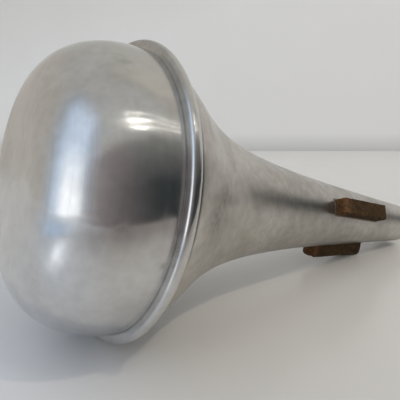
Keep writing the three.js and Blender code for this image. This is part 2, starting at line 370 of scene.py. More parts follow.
# The soft light, and the cards that only the metal mirrors. A bearing is in degrees to the right of the
# camera's heading, and a distance is from the middle of the rim. A flat panel lies on the shelf, and its
# height points away from the mute. A panel goes from its low tone to its high one over the rise, a range of
# shares of its height, and from there to its side tone over the turn, a range of shares of its width.
# Without a rise or a turn, that is all of the panel. The last tone holds for those that a row leaves out.
# The clear shares of its left, right, upper and lower edge fade away.
PANELS = {
    "window": {
        "bearing": -125,
        "distance": 1.5,
        "size": (1.36, 3.1),
        "tones": ((1.50, 1.55, 1.60), (0.84, 0.99, 1.22), (0.72, 0.87, 1.10)),
        "rise": (0.08, 0.38),
        "turn": (0.60, 0.78),
        "clear": (0.09, 0.06, 0.42, 0),
    },
    "window_haze": {
        "bearing": -125,
        "distance": 1.6,
        "size": (3.4, 3.6),
        "tones": ((0.42, 0.48, 0.56), (0.44, 0.51, 0.60)),
        "clear": (0.30, 0.34, 0.40, 0.02),
    },
    "dark_card": {
        "bearing": 146,
        "distance": 0.27,
        "size": (1.10, 0.36),
        "tones": ((0.032, 0.038, 0.040), (0.290, 0.290, 0.275), (0.250, 0.215, 0.218)),
        "rise": (0.31, 0.92),
        "turn": (0.45, 0.68),
        "clear": (0.10, 0.36, 0.26, 0),
    },
    "side_card": {
        "bearing": 84,
        "distance": 1.0,
        "size": (0.90, 0.34),
        "tones": ((0.050, 0.055, 0.060), (0.100, 0.105, 0.110), (0.050, 0.055, 0.060)),
        "rise": (0.3, 1),
        "clear": (0.30, 0, 0.50, 0),
    },
    "low_card": {
        "bearing": -124,
        "distance": 0.30,
        "size": (0.38, 0.058),
        "tones": ((0.500, 0.630, 0.820),),
        "clear": (0.50, 0.50, 0.70, 0),
    },
    "front_card": {
        "bearing": 160,
        "distance": 0.285,
        "size": (0.66, 0.42),
        "tones": ((0.288, 0.260, 0.243), (0.270, 0.245, 0.232), (0.285, 0.275, 0.284)),
        "turn": (0.4, 0.8),
        "clear": (0.40, 0.55, 0.30, 0.32),
        "flat": True,
    },
    "shelf_glint": {
        "bearing": -136,
        "distance": 0.19,
        "size": (0.080, 0.20),
        "tones": ((1.60, 1.70, 1.85),),
        "clear": (0.50, 0.50, 0.50, 0.50),
        "flat": True,
    },
}


# Outlines: each point is a station and a radius


def bead_middle(shell):
    return Vector((0, shell.rim_radius - shell.bead_radius))


def on_circle(middle, radius, turn):
    return middle + radius * Vector((math.cos(turn), math.sin(turn)))


def arc(middle, radius, start, end, steps):
    return [on_circle(middle, radius, start + (end - start) * i / steps) for i in range(steps + 1)]


def skirt_end(shell):
    return Vector((shell.skirt_reach, shell.rim_radius - shell.skirt_drop))


def skirt_angle(shell):
    """The way that the skirt faces, where it leaves the round of the bead without a kink."""
    to_end = skirt_end(shell) - bead_middle(shell)
    return math.atan2(to_end.y, to_end.x) + math.acos(shell.bead_radius / to_end.length)


def hem_middle(shell):
    """Inside the bead, where the curled hem touches the skirt but for the seam's gap."""
    spare = shell.bead_radius - shell.sheet - shell.seam_gap - shell.hem_radius
    return on_circle(bead_middle(shell), spare, skirt_angle(shell))


def sunk(points, depth):
    """The outline moved square to itself towards the axis."""
    moved = []
    last = len(points) - 1
    for i, point in enumerate(points):
        along = (points[min(i + 1, last)] - points[max(i - 1, 0)]).normalized()
        moved.append(Vector((point.x + along.y * depth, point.y - along.x * depth)))
    return moved


def bell_rise(shell, station):
    tube = shell.neck_end_radius + shell.neck_taper * shell.neck_reach
    full = shell.rim_radius - shell.bell_drop - tube
    return full / (1 + (station / shell.bell_reach) ** shell.bell_power)


def flare_radius(shell, station):
    tube = shell.neck_end_radius + shell.neck_taper * (shell.neck_reach - station)
    return tube + bell_rise(shell, station) - bell_rise(shell, shell.neck_reach)


def flare_outside(shell):
    turn = skirt_angle(shell)
    hem_edge = on_circle(hem_middle(shell), shell.hem_radius, turn)
    under_skirt = on_circle(skirt_end(shell), -shell.sheet - shell.seam_gap, turn)
    points = [hem_edge, under_skirt]
    for i in range(shell.flare_steps + 1):
        part = (i / shell.flare_steps) ** shell.flare_crowding
        station = shell.skirt_reach + (shell.neck_reach - shell.skirt_reach) * part
        points.append(Vector((station, flare_radius(shell, station))))
    return points


def flare_outline(shell):
    """The flare's outside, its inside and the curled hem, back to where it starts."""
    outside = flare_outside(shell)
    inside = sunk(outside, shell.sheet)[1:]
    inside.reverse()
    turn = skirt_angle(shell)
    opening = math.acos((shell.hem_radius - shell.sheet) / shell.hem_radius)
    hem = arc(hem_middle(shell), shell.hem_radius, turn - opening, turn - WHOLE_TURN, shell.hem_steps)
    return outside, [*outside, *inside, *hem]


def crease(shell):
    """Where the cap's wall meets the bead."""
    return Vector((-shell.crease_reach, shell.rim_radius - shell.crease_drop))


def cap_outside(shell):
    """The cap's outside, from the middle of its flat end up to the crease in front of the bead."""
    widest = shell.rim_radius - shell.cap_drop
    ring = shell.cap_flat_radius / shell.disc_steps
    points = [Vector((-shell.cap_depth, ring * i)) for i in range(shell.disc_steps)]
    for i in range(shell.shoulder_steps + 1):
        turn = i / shell.shoulder_steps * QUARTER_TURN
        along = max(math.cos(turn), 0) ** (2 / shell.cap_roundness)
        out = math.sin(turn) ** (2 / shell.cap_roundness)
        station = -shell.cap_wall - (shell.cap_depth - shell.cap_wall) * along
        points.append(Vector((station, shell.cap_flat_radius + (widest - shell.cap_flat_radius) * out)))
    to_crease = crease(shell) - points[-1]
    wall = []
    for i in range(1, shell.wall_steps):
        part = i / shell.wall_steps
        wall.append(points[-1] + Vector((to_crease.x * part, to_crease.y * part**3)))
    return points + wall


def bead_outside(shell):
    """The bead from the crease, over its nose and its crown, to the edge of the skirt."""
    power = 2 / shell.bead_squareness
    nose = shell.rim_radius - shell.nose_drop
    points = []
    for i in range(shell.curl_steps):
        part = 1 - i / shell.curl_steps
        station = -shell.bead_front - (shell.crease_reach - shell.bead_front) * part**2
        points.append(Vector((station, nose + (crease(shell).y - nose) * part)))
    for i in range(shell.bead_steps):
        turn = i / shell.bead_steps * QUARTER_TURN
        radius = nose + shell.nose_drop * math.sin(turn) ** power
        points.append(Vector((-shell.bead_front * math.cos(turn) ** power, radius)))
    back = arc(bead_middle(shell), shell.bead_radius, QUARTER_TURN, skirt_angle(shell), shell.bead_steps)
    return [*points, *back, skirt_end(shell)]


def cap_outline(shell):
    """The cap's outside, the bead and the skirt, and then the inside, back to the axis."""
    seen = [*cap_outside(shell), *bead_outside(shell)]
    inside = sunk(seen, shell.sheet)
    inside.reverse()
    inside[-1].y = 0
    return seen, [*seen, *inside]


# Meshes


def laid(shell):
    """Takes a piece from the mute's own axis to where the mute lies."""
    return Matrix.Translation(shell.rim_middle) @ Matrix.Rotation(shell.dip, 4, "Y")


def turn_of(point):
    """Share of a turn from straight up towards the front."""
    return math.atan2(-point.y, point.z) / WHOLE_TURN % 1


def spun(outline, facets, closes):
    """Spins an outline round the axis. It either closes on itself or ends on the axis."""
    bm = bmesh.new()
    along = bm.verts.layers.float.new("along")
    spun_map = bm.loops.layers.uv.new(SPUN_MAP)
    points = [*outline, outline[0]] if closes else outline
    rings = [bm.verts.new((point.x, 0, point.y)) for point in points]
    whole = 0
    for before, after in zip(rings, rings[1:]):
        bm.edges.new((before, after))
        whole += (after.co - before.co).length
        after[along] = whole
    bmesh.ops.spin(
        bm, geom=[*bm.verts, *bm.edges], axis=(1, 0, 0), angle=WHOLE_TURN, steps=facets, use_merge=True
    )
    for face in bm.faces:
        turns = [turn_of(loop.vert.co) for loop in face.loops]
        crosses = max(turns) - min(turns) > 0.5
        for loop, turn in zip(face.loops, turns):
            loop[spun_map].uv = (loop.vert[along] / whole, turn + 1 if crosses and turn < 0.5 else turn)
    bmesh.ops.remove_doubles(bm, verts=bm.verts, dist=MERGED)
    bmesh.ops.recalc_face_normals(bm, faces=bm.faces)
    return bm


def round_cut_edges(bm, size):
    """Takes the sharpness off edges that turn a square corner outwards."""
    corners = [edge for edge in bm.edges if edge.is_manifold and edge.calc_face_angle_signed() > SHARP]
    bmesh.ops.bevel(
        bm,
        geom=corners,
        offset=size,
        segments=2,
        profile=0.5,
        affect="EDGES",
        material=-1,
        clamp_overlap=True,
    )


def near_spot(point, station, degrees, reach):
    """1 in the middle of a spot on the shell, falling softly to 0 outside it."""
    radius = math.hypot(point.y, point.z)
    apart = (turn_of(point) * 360 - degrees + 180) % 360 - 180
    distance = math.hypot(point.x - station, radius * math.radians(apart))
    return math.exp(-((distance / reach) ** 2))


def uneven(bm, shell, dents):
    """Leaves the slow waves of spinning and a few small dents in a shell, all through its thickness."""
    bm.normal_update()
    moves = []
    for vert in bm.verts:
        point = vert.co
        radius = math.hypot(point.y, point.z)
        outward = Vector((point.x + shell.cap_wall if point.x < 0 else 0, point.y, point.z))
        outward = outward.normalized() if outward.length > 0 else Vector((-1, 0, 0))
        depth = shell.unevenness * noise.noise(point / shell.wave_length)
        if radius > shell.neck_end_radius:
            depth -= sum(sink * near_spot(point, *spot) for *spot, sink in dents)
        moves.append(outward * depth)
    for vert, move in zip(bm.verts, moves):
        vert.co += move


def mark(bm, spots):
    """Writes how smudged each point is."""
    layer = bm.verts.layers.float.new(SMUDGE)
    for vert in bm.verts:
        vert[layer] = min(1, sum(strength * near_spot(vert.co, *spot) for *spot, strength in spots))


def spun_shell(shell, outline, closes, dents, smudges):
    """Spins a shell, rounds its cut edges, dents and smudges it, and lays it where the mute lies."""
    bm = spun(outline, shell.facets, closes)
    round_cut_edges(bm, shell.edge_round)
    uneven(bm, shell, dents)
    mark(bm, smudges)
    bmesh.ops.transform(bm, matrix=laid(shell), verts=bm.verts)
    return bm


def placed(name, data):
    """A new object of the scene."""
    made = bpy.data.objects.new(name, data)
    bpy.context.scene.collection.objects.link(made)
    return made


def placed_mesh(name, bm, material):
    """A new object of a mesh that already lies in its place."""
    mesh = bpy.data.meshes.new(name)
    bm.to_mesh(mesh)
    bm.free()
    mesh.materials.append(material)
    return placed(name, mesh)


def finish_piece(name, bm, material, node=None):
    """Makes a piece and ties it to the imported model."""
    for face in bm.faces:
        face.smooth = True
    piece = placed_mesh(name, bm, material)
    if node:
        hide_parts(node)
    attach(piece, BODY)
    return piece


def block(counts):
    """A box with sides of one unit round the origin, cut evenly along X, Y and Z."""
    bm = bmesh.new()
    bmesh.ops.create_cube(bm, size=UNIT)
    for axis, cuts in enumerate(counts):
        lines = [edge for edge in bm.edges if abs((edge.verts[0].co - edge.verts[1].co)[axis]) > UNIT / 2]
        bmesh.ops.subdivide_edges(bm, edges=lines, cuts=cuts, use_grid_fill=True)
    return bm


def worn(point, half, radius):
    """Moves a point of a box's skin onto the box with rounded edges, but for those of its underside."""
    core = Vector((
        max(radius - half.x, min(half.x - radius, point.x)),
        max(radius - half.y, min(half.y - radius, point.y)),
        min(half.z - radius, point.z),
    ))
    out = point - core
    return core + out.normalized() * radius if out.length > radius else point


def strip_outside(shell, cork, start, station):
    """Height of a strip's outer face above the axis: a straight line with a bevel at each end."""
    end = start + cork.strip_length
    near = start + cork.bevel_length
    far = end - cork.bevel_length
    near_height = flare_radius(shell, near) + cork.near_thickness
    far_height = flare_radius(shell, far) + cork.far_thickness
    height = near_height + (far_height - near_height) * (station - near) / (far - near)
    bevelled = max(near - station, station - far, 0) / cork.bevel_length
    return height - cork.bevel_depth * bevelled


def cork_mesh(shell, cork, start, turn, rubbed):
    """A strip with worn edges, soft lumps and pores, its underside hollowed to the neck."""
    half = Vector((cork.strip_length, cork.strip_width, cork.far_thickness)) / 2
    bm = block([round(2 * side / cork.cell) for side in half])
    wear = bm.verts.layers.float.new(WEAR)
    lifts = {}
    for vert in bm.verts:
        point = worn(Vector(a * b * 2 for a, b in zip(vert.co, half)), half, cork.edge_round)
        station = start + half.x + point.x
        lift = (point.z + half.z) / (2 * half.z)
        under = math.sqrt((flare_radius(shell, station) + cork.bed) ** 2 - point.y**2)
        height = under + (strip_outside(shell, cork, start, station) - under) * lift
        vert.co = (station, point.y, height)
        lifts[vert] = lift
        away = (half.x + point.x) / cork.strip_length
        patchy = 0.5 + 0.5 * noise.noise(vert.co / cork.lump_size / 2)
        at_end = math.exp(-((away / cork.rubbed_share) ** 2))
        vert[wear] = max(0, min(1, rubbed * (at_end + PATCHY_SHARE * patchy)))
    bm.normal_update()
    seed = Vector((turn, turn, turn))
    for vert in bm.verts:
        lump = noise.noise(vert.co / cork.lump_size + seed)
        pore = max(0, noise.noise(vert.co / cork.pit_size - seed) - PORE_START_SHARE) * PORE_STEEPNESS
        hold = min(1, lifts[vert] / HELD_SHARE)
        vert.co += vert.normal * hold * (cork.lump_depth * lump - cork.pit_depth * min(1, pore))
    bmesh.ops.rotate(bm, verts=bm.verts, matrix=Matrix.Rotation(turn, 3, "X"))
    return bm


def glue_mesh(shell, cork, start, turn):
    """A thin ragged bed of glue that fills the gap under a strip and shows a little round it."""
    half = Vector((cork.strip_length, cork.strip_width, cork.bed)) / 2
    half.x += cork.glue_margin
    half.y += cork.glue_margin
    bm = block([round(half.x / cork.cell), round(half.y / cork.cell), 1])
    seed = Vector((turn, turn, start / cork.cell))
    middle_share, lost_share = GLUE_TOP_SHARES
    for vert in bm.verts:
        edge = max(abs(vert.co.x) * 2, abs(vert.co.y) * 2) ** GLUE_EDGE_POWER
        stray = cork.glue_ragged * noise.noise(vert.co * GLUE_WAVES + seed) * edge
        x = vert.co.x * 2 * half.x + math.copysign(stray, vert.co.x)
        y = vert.co.y * 2 * half.y + math.copysign(stray, vert.co.y)
        station = start + cork.strip_length / 2 + x
        top = vert.co.z > 0
        rise = cork.bed * (middle_share - lost_share * edge) if top else -shell.sheet / 4
        radius = flare_radius(shell, station) + rise
        vert.co = (station, y, math.sqrt(radius**2 - y**2))
    bmesh.ops.rotate(bm, verts=bm.verts, matrix=Matrix.Rotation(turn, 3, "X"))
    return bm


# Materials


def add(tree, kind, sockets=(), **settings):
    """Adds a node. A socket is given a value, or another node's output to link."""
    made = tree.nodes.new("ShaderNode" + kind)
    for key, value in settings.items():
        setattr(made, key, value)
    for key, value in dict(sockets).items():
        if isinstance(value, bpy.types.NodeSocket):
            tree.links.new(value, made.inputs[key])
        else:
            made.inputs[key].default_value = value
    return made


def opaque(tone):
    """A tone with full cover. Another node's output stays as it is."""
    return tone if isinstance(tone, bpy.types.NodeSocket) else (*tone, 1)


def blended(tree, factor, first, second):
    """A colour between two others, each a tone or another node's output."""
    sockets = {0: factor, 6: opaque(first), 7: opaque(second)}
    return add(tree, "Mix", sockets, data_type="RGBA").outputs[2]


def ranged(tree, value, low, high, to_low=0, to_high=1):
    """Carries a range of values over to another, held at its ends."""
    return add(tree, "MapRange", {0: value, 1: low, 2: high, 3: to_low, 4: to_high}).outputs[0]


def shown(tree, pattern, value, scale=1):
    """Carries a noise over to what its pattern gives, times a scale."""
    low, high, first, last = PATTERN_SHARES[pattern]
    return ranged(tree, value, low, high, first * scale, last * scale)


def math_node(tree, operation, first, *others):
    """Runs an operation over two or more values, one after another."""
    for other in others:
        first = add(tree, "Math", {0: first, 1: other}, operation=operation).outputs[0]
    return first


def covered(tree, cover, mark, tone, over):
    """Lays another tone over one where the mark is."""
    return blended(tree, math_node(tree, "MULTIPLY", mark, cover), tone, over)


def speckle(tree, vector, size, detail=2, stretch=0):
    """Noise whose lumps have the given size."""
    sockets = {"Vector": vector, "Scale": 1 / size, "Detail": detail, "Distortion": stretch}
    return add(tree, "TexNoise", sockets).outputs[0]


def bumped(tree, height, depth, strength, under=None):
    sockets = {"Height": height, "Distance": depth, "Strength": strength}
    if under:
        sockets["Normal"] = under
    return add(tree, "Bump", sockets).outputs[0]


def cleared(holder):
    """The nodes of a material or a world, without the ready-made ones."""
    holder.use_nodes = True
    holder.node_tree.nodes.clear()
    return holder.node_tree


def new_material(name):
    material = bpy.data.materials.new(name)
    return material, cleared(material)


def surfaced(material, sockets):
    """Ends a material in a shader with these sockets."""
    shader = add(material.node_tree, "BsdfPrincipled", sockets)
    add(material.node_tree, "OutputMaterial", {0: shader.outputs[0]})
    return material


def mute_space(tree, shell):
    """The mute's own coordinates: the station along X, straight up along Z."""
    spot = add(tree, "TexCoord").outputs["Object"]
    sockets = {"Vector": spot, "Location": shell.rim_middle, "Rotation": (0, shell.dip, 0)}
    return add(tree, "Mapping", sockets, vector_type="TEXTURE").outputs[0]


def outline_space(tree, own):
    """The station and the radius alone, so that a pattern on them makes rings round the axis."""
    parts = add(tree, "SeparateXYZ", {0: own})
    across = add(tree, "CombineXYZ", {1: parts.outputs[1], 2: parts.outputs[2]}).outputs[0]
    radius = add(tree, "VectorMath", {0: across}, operation="LENGTH").outputs["Value"]
    return add(tree, "CombineXYZ", {0: parts.outputs[0], 1: radius}).outputs[0]


def hairlines(tree, own, size, turn):
    """Sparse thin scratches in one direction, as a mask."""
    sockets = {"Vector": own, "Rotation": turn, "Scale": (1, HAIRLINE_SHARE, HAIRLINE_SHARE)}
    drawn = add(tree, "Mapping", sockets).outputs[0]
    return shown(tree, "hairlines", speckle(tree, drawn, size, detail=0))


def near_ring(tree, outline, ring, inner, outer):
    """1 at a ring of the outline, falling to 0 away from it."""
    point = (ring.x, ring.y, 0)
    distance = add(tree, "VectorMath", {0: outline, 1: point}, operation="DISTANCE").outputs["Value"]
    return ranged(tree, distance, inner, outer, 1, 0)


def spun_metal(name, shell, finish, part, dark_rings, inside_from):
    """Spun aluminium: rings and fine lines round the axis, haze, hairlines, smudges, and dark rings, most of
    them painted shade.

    Each dark ring has a name, a point of the outline, how far it reaches from there, and the height above
    the axis from which it shows.
    """
    kinds = ("metal", "dull", "roughness", "streak", "relief")
    clean, dull, roughness, streak, relief = (getattr(finish, f"{part}_{kind}") for kind in kinds)
    material, tree = new_material(name)
    own = mute_space(tree, shell)
    outline = outline_space(tree, own)
    haze = speckle(tree, own, finish.patch_size, detail=4, stretch=0.6)
    small_haze = speckle(tree, own, finish.patch_size / SMALL_HAZES, detail=3, stretch=0.3)
    grains = speckle(tree, own, finish.patch_size / GRAINS)
    rings = speckle(tree, outline, finish.ring_size)
    lines = speckle(tree, outline, finish.line_size, detail=1)
    smudge = add(tree, "Attribute", attribute_name=SMUDGE).outputs["Fac"]
    marks = math_node(tree, "MULTIPLY", smudge, shown(tree, "grains", grains))
    sets = (hairlines(tree, own, finish.hairline_size, turn) for turn in HAIRLINE_TURNS)
    scratches = math_node(tree, "MAXIMUM", *sets)
    patches = math_node(
        tree,
        "ADD",
        shown(tree, "haze", haze),
        shown(tree, "rings", rings, relief),
        shown(tree, "small haze", small_haze),
    )
    tone = blended(tree, patches, clean, dull)
    tone = covered(tree, COVER_SHARES["smudge"], marks, tone, finish.grime_and_shade)
    uneven_shade_and_grime = shown(tree, "uneven shade and grime", small_haze)
    height = add(tree, "SeparateXYZ", {0: own}).outputs[2]
    # Painted shade: the crease, bead, skirt and seam rings darken the metal towards the grime tone
    for ring, point, reach, lowest in dark_rings:
        cover, even = RING_SHARES[ring]
        near = near_ring(tree, outline, point, reach * even, reach)
        above = ranged(tree, height, lowest, lowest + finish.shade_rise)
        shade_and_grime_mask = math_node(tree, "MULTIPLY", near, uneven_shade_and_grime, above)
        tone = covered(tree, cover, shade_and_grime_mask, tone, finish.grime_and_shade)
    along = add(tree, "SeparateXYZ", {0: add(tree, "UVMap", uv_map=SPUN_MAP).outputs[0]}).outputs[0]
    within = ranged(tree, along, inside_from, inside_from + INSIDE_FADE_SHARE)
    rough = math_node(
        tree,
        "ADD",
        shown(tree, "metal roughness", haze, roughness),
        math_node(tree, "MULTIPLY", shown(tree, "scored", lines), finish.scored_roughness),
        math_node(tree, "MULTIPLY", marks, ROUGHNESS_SHARES["smudge"]),
        math_node(tree, "MULTIPLY", scratches, ROUGHNESS_SHARES["scratches"]),
        math_node(tree, "MULTIPLY", within, ROUGHNESS_SHARES["inside"]),
    )
    normal = bumped(tree, rings, finish.ring_depth, relief)
    normal = bumped(tree, lines, finish.line_depth, relief, normal)
    normal = bumped(tree, small_haze, finish.haze_depth, RELIEF_SHARES["haze"], normal)
    normal = bumped(tree, scratches, -finish.hairline_depth, relief, normal)
    sockets = {
        "Base Color": blended(tree, within, tone, finish.inside),
        "Metallic": 1,
        "Roughness": rough,
        "Anisotropic": streak,
        "Normal": normal,
        "Tangent": add(tree, "Tangent", direction_type="UV_MAP", uv_map=SPUN_MAP).outputs[0],
    }
    return surfaced(material, sockets)


def cork_material(cork):
    """Handled cork: grains of several browns, dark pores, and a redder tone where it is rubbed."""
    material, tree = new_material("handled_cork")
    spot = add(tree, "TexCoord").outputs["Object"]
    wear = add(tree, "Attribute", attribute_name=WEAR).outputs["Fac"]
    grain = add(tree, "TexVoronoi", {"Vector": spot, "Scale": 1 / cork.grain_size})
    tint = add(tree, "SeparateColor", {0: grain.outputs["Color"]}).outputs[0]
    cloud = speckle(tree, spot, cork.cloud_size, detail=4, stretch=0.5)
    fine = speckle(tree, spot, cork.fine_size, detail=3)
    pores = shown(tree, "cork pores", speckle(tree, spot, cork.pit_size / 2, detail=3, stretch=0.8))
    tone = blended(tree, shown(tree, "cork tint", tint), cork.brown, cork.dark)
    worn_through = math_node(tree, "MULTIPLY", wear, shown(tree, "cork wear", cloud))
    tone = blended(tree, worn_through, tone, cork.rubbed)
    tone = blended(tree, shown(tree, "cork clouds", cloud), tone, cork.dark)
    normal = bumped(tree, grain.outputs["Distance"], -cork.grain_depth, RELIEF_SHARES["grain"])
    normal = bumped(tree, fine, cork.fine_depth, RELIEF_SHARES["fine"], normal)
    sockets = {
        "Base Color": covered(tree, COVER_SHARES["pores"], pores, tone, cork.dark),
        "Roughness": shown(tree, "cork roughness", fine),
        "Normal": bumped(tree, pores, -cork.pore_relief, RELIEF_SHARES["pores"], normal),
        "Specular IOR Level": CORK_GLOSS_SHARE,
    }
    return surfaced(material, sockets)


def glue_material(cork):
    """Dried glue, pale in places."""
    material, tree = new_material("dried_glue")
    spot = add(tree, "TexCoord").outputs["Object"]
    cloud = speckle(tree, spot, cork.glue_cloud, detail=3, stretch=0.4)
    fine = speckle(tree, spot, cork.glue_fine)
    sockets = {
        "Base Color": blended(tree, shown(tree, "pale glue", cloud), cork.glue, cork.glue_light),
        "Roughness": shown(tree, "glue roughness", fine),
        "Normal": bumped(tree, fine, cork.glue_relief, RELIEF_SHARES["glue"]),
    }
    return surfaced(material, sockets)


def painted(name, first, changes, roughness, size):
    """A plain painted surface with a faint unevenness, and light and shade painted into its tone.

    Its tone starts as the first one. Each change gives a way, where along it the change starts and ends, and
    the tone that it leads to.
    """
    material, tree = new_material(name)
    spot = add(tree, "TexCoord").outputs["Object"]
    cloud = speckle(tree, spot, size, detail=3)
    tone = first
    for way, start, end, next_tone in changes:
        reach = add(tree, "VectorMath", {0: spot, 1: way}, operation="DOT_PRODUCT").outputs["Value"]
        tone = blended(tree, ranged(tree, reach, start, end), tone, next_tone)
    deep = add(tree, "HueSaturation", {"Color": tone, "Value": DEEP_PAINT_SHARE}).outputs[0]
    return surfaced(material, {"Base Color": blended(tree, cloud, deep, tone), "Roughness": roughness})


def glow(name, values):
    """Light for a stage panel, from its row in the table."""
    material, tree = new_material(name)
    spot = add(tree, "SeparateXYZ", {0: add(tree, "UVMap", uv_map=PANEL_MAP).outputs[0]})
    across, up = spot.outputs[0], spot.outputs[1]
    tones = values["tones"]
    low, high, side = (tones[min(i, len(tones) - 1)] for i in range(3))
    tone = blended(tree, ranged(tree, up, *values.get("rise", (0, 1))), low, high)
    tone = blended(tree, ranged(tree, across, *values.get("turn", (0, 1))), tone, side)
    light = add(tree, "Emission", {"Color": tone, "Strength": 1}).outputs[0]
    left, right, top, bottom = values["clear"]
    for value, start, end in ((across, 0, left), (across, 1, 1 - right), (up, 1, 1 - top), (up, 0, bottom)):
        if start != end:
            gone = add(tree, "BsdfTransparent").outputs[0]
            sockets = {0: value, 1: start, 2: end}
            part = add(tree, "MapRange", sockets, interpolation_type="SMOOTHSTEP").outputs[0]
            light = add(tree, "MixShader", {0: part, 1: gone, 2: light}).outputs[0]
    add(tree, "OutputMaterial", {0: light})
    return material


# Stage


def heading(stage, bearing, level=0.0):
    """A direction, by its bearing to the right of the camera's heading and its angle above the level."""
    turn = stage.camera_heading - bearing
    flat = Vector((-math.sin(turn), math.cos(turn), 0))
    return flat * math.cos(level) + Vector((0, 0, math.sin(level)))


def panel(name, middle, across, up, size, material):
    """A flat stage panel."""
    bm = bmesh.new()
    panel_map = bm.loops.layers.uv.new(PANEL_MAP)
    bmesh.ops.create_grid(bm, x_segments=1, y_segments=1, size=UNIT / 2)
    for face in bm.faces:
        for loop in face.loops:
            loop[panel_map].uv = (loop.vert.co.x + UNIT / 2, loop.vert.co.y + UNIT / 2)
    width, height = size
    for vert in bm.verts:
        vert.co = middle + across * (vert.co.x * width) + up * (vert.co.y * height)
    made = placed_mesh(name, bm, material)
    made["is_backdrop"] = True
    return made


def build_world(stage):
    """Even light on matt surfaces; the metal and the camera see a pale room that darkens towards the top."""
    world = bpy.data.worlds.new("studio")
    bpy.context.scene.world = world
    tree = cleared(world)
    level = add(tree, "SeparateXYZ", {0: add(tree, "TexCoord").outputs["Generated"]}).outputs[2]
    room = blended(tree, ranged(tree, level, *SKY_SHARES), stage.sky_side, stage.sky_top)
    rays = add(tree, "LightPath").outputs
    seen = math_node(
        tree, "MAXIMUM", rays["Is Camera Ray"], rays["Is Glossy Ray"], rays["Is Transmission Ray"]
    )
    light = add(tree, "Background", {"Color": blended(tree, seen, stage.ambient, room), "Strength": 1})
    add(tree, "OutputWorld", {0: light.outputs[0]})


def build_camera(stage):
    camera = bpy.data.cameras.new("camera")
    camera.lens = stage.camera_lens
    made = placed("camera", camera)
    made.location = stage.camera_place
    made.rotation_euler = (stage.camera_pitch, 0, stage.camera_heading)
    bpy.context.scene.camera = made


def build_room(stage, floor_level):
    """The shelf that the mute lies on, and the wall behind it."""
    ahead = heading(stage, 0)
    right = heading(stage, QUARTER_TURN)
    up = Vector((0, 0, 1))
    wall_foot = Vector(stage.camera_place) + ahead * stage.wall_distance
    wall_foot.z = floor_level
    half = stage.stage_width / 2
    far = wall_foot.dot(ahead)
    near = far - stage.floor_near
    left = Vector(stage.camera_place).dot(-right)
    # Painted light and shade on the shelf: bluish to the camera's left, darker towards the camera
    shelf_changes = (
        (-right, left, left + stage.floor_left, stage.floor_left_blue_light_colour),
        (ahead, near, far, stage.floor_colour),
    )
    leaning = up - right * stage.wall_lean
    level = floor_level - wall_foot.dot(right) * stage.wall_lean
    # Painted shade on the wall: darker at its foot, and darker high up, sooner to the left
    wall_changes = (
        (up, floor_level, floor_level + stage.wall_foot, stage.wall_colour),
        (leaning, level + stage.wall_low, level + stage.wall_high, stage.wall_high_colour),
    )
    shelf_gloss, wall_gloss = ROUGHNESS_SHARES["shelf"], ROUGHNESS_SHARES["wall"]
    shelf = painted("painted_shelf", stage.floor_near_shade_colour, shelf_changes, shelf_gloss, stage.floor_patch)
    wall = painted("painted_wall", stage.wall_foot_shade_colour, wall_changes, wall_gloss, stage.wall_patch)
    size = (stage.stage_width, stage.stage_width)
    panel("floor", wall_foot - ahead * half, right, ahead, size, shelf)
    panel("wall", wall_foot + up * half + right * (half - stage.wall_left), right, up, size, wall)


def hidden(made, lights=False):
    """Leaves a panel to the metal's mirroring, and to the light where it is said to give light."""
    made.visible_camera = False
    made.visible_diffuse = lights
    made.visible_shadow = False


def lamp(name, middle, target, radius, power, tone):
    """A small round lamp that faces a point."""
    bulb = bpy.data.lights.new(name, "AREA")
    bulb.shape = "DISK"
    bulb.size = 2 * radius
    bulb.energy = power
    bulb.color = tone
    made = placed(name, bulb)
    made.location = middle
    made.rotation_mode = "QUATERNION"
    made.rotation_quaternion = (target - middle).to_track_quat("-Z", "Y")
    made.visible_camera = False
    return made


def build_lamps(stage, target):
    """Small warm lamps in a row up, each with a faint tube through it: the hot spots on the cap."""
    towards = heading(stage, stage.tube_bearing, stage.tube_level)
    size = (stage.tube_length, stage.tube_width)
    for i, (level, power_share) in enumerate(LAMPS):
        way = heading(stage, stage.lamp_bearing, level)
        middle = target + way * stage.lamp_distance
        lamp(f"lamp_{i}", middle, target, stage.lamp_radius, stage.lamp_light * power_share, LAMP_TONE)
        along = (towards - way * towards.dot(way)).normalized()
        middle += along * stage.tube_shift
        name = f"tube_{i}"
        hidden(panel(name, middle, along, way.cross(along), size, glow(name, TUBE)))


def build_key(stage, target):
    """The light that gives the shadow on the shelf its edge. The metal doesn't mirror it."""
    middle = target + heading(stage, stage.key_bearing, stage.key_level) * stage.key_distance
    key = lamp("key", middle, target, stage.key_radius, stage.key_light, stage.key_colour)
    key.visible_glossy = False


def build_panels(stage, target, floor_level):
    """The soft light and the cards that only the metal mirrors. The camera sees none of them."""
    for name, values in PANELS.items():
        bearing = math.radians(values["bearing"])
        size = values["size"]
        flat = values.get("flat", False)
        middle = target + heading(stage, bearing) * values["distance"]
        middle.z = floor_level + (stage.card_lift if flat else size[1] / 2)
        across = heading(stage, bearing + QUARTER_TURN)
        up = heading(stage, bearing) if flat else Vector((0, 0, 1))
        hidden(panel(name, middle, across, up, size, glow(name, values)), lights=name == "window")


# Operators


